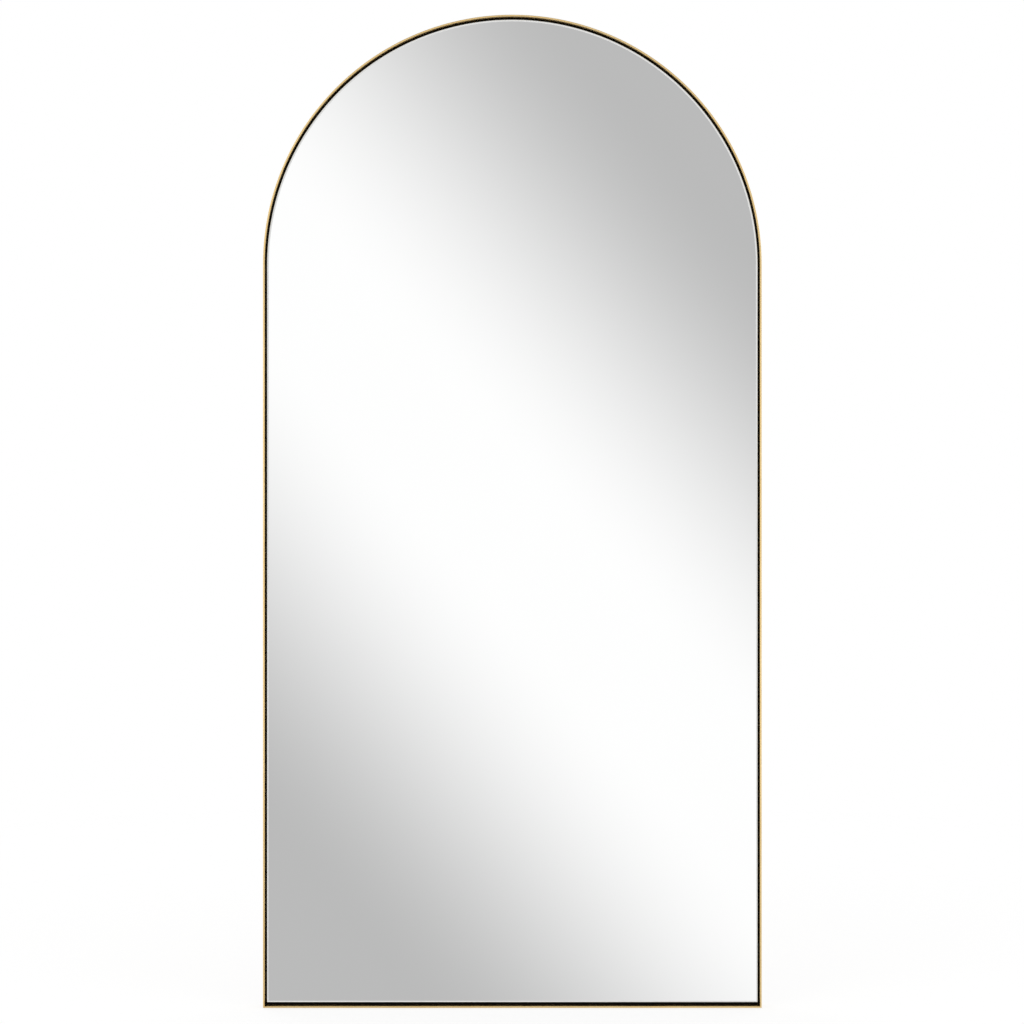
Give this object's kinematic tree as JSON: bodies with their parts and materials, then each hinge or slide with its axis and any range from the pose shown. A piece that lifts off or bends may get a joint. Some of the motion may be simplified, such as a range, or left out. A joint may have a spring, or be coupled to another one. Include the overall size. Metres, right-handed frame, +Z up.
{
  "type": "leaning floor mirror",
  "caption": "Full-length arched mirror in a slim deep brass frame with a dark shadow gap, made to stand on the floor and lean on a wall; swinging D-rings behind.",
  "frame": {"origin": "on the floor, under the middle of the overall width and depth, with the mirror standing upright", "axes": "+Z up along the legs, -Y out of the glass towards the viewer, +X to the right across the width as seen from the front"},
  "size_m": [0.918, 0.044, 1.8299],
  "materials": {
    "brass_bar": "brass-plated steel flat bar, satin brushed along its length",
    "mirror_glass": "silvered float glass with polished, slightly green edges",
    "black_steel": "black powder coat, fine texture",
    "weld_metal": "bare weld metal, wire-brushed",
    "zinc_steel": "bright zinc plating",
    "ring_steel": "nickel-plated steel",
    "film": "white woven-backed safety film",
    "foam_tape": "white closed-cell foam",
    "mdf": "raw brown fibreboard",
    "gasket_foam": "black closed-cell foam",
    "rubber": "black moulded rubber, matt",
    "silicone": "clear silicone, slightly milky"
  },
  "bodies": {
    "mirror": {"frame_arch": "brass_bar", "frame_leg_left": "brass_bar", "frame_leg_right": "brass_bar", "frame_bottom_rail": "brass_bar", "corner_welds": "weld_metal", "arch_welds": "weld_metal", "ledge_arch": "black_steel", "ledge_left": "black_steel", "ledge_right": "black_steel", "ledge_bottom": "black_steel", "ledge_tack_welds": "weld_metal", "mirror_glass": "mirror_glass", "safety_film": "film", "foam_tape_strips": "foam_tape", "backing_board": "mdf", "reveal_gasket": "gasket_foam", "setting_block_left": "rubber", "setting_block_right": "rubber", "panel_screws": "zinc_steel", "cross_brace_lower": "black_steel", "cross_brace_upper": "black_steel", "brace_screws": "zinc_steel", "hanger_plate_left": "zinc_steel", "hanger_plate_right": "zinc_steel", "hanger_screws": "zinc_steel", "wall_bumper_upper_left": "rubber", "wall_bumper_upper_right": "rubber", "wall_bumper_lower_left": "rubber", "wall_bumper_lower_right": "rubber", "floor_pad_left": "silicone", "floor_pad_right": "silicone"},
    "ring_left": {"d_ring_left": "ring_steel"},
    "ring_right": {"d_ring_right": "ring_steel"}
  },
  "joints": [
    {"name": "ring_left_swing", "type": "hinge", "parent": "mirror", "child": "ring_left", "pos_m": [-0.441, 0.01208, 1.251], "axis": [1, 0, 0], "range_deg": [0, 180]},
    {"name": "ring_right_swing", "type": "hinge", "parent": "mirror", "child": "ring_right", "pos_m": [0.441, 0.01208, 1.251], "axis": [1, 0, 0], "range_deg": [0, 180]}
  ]
}
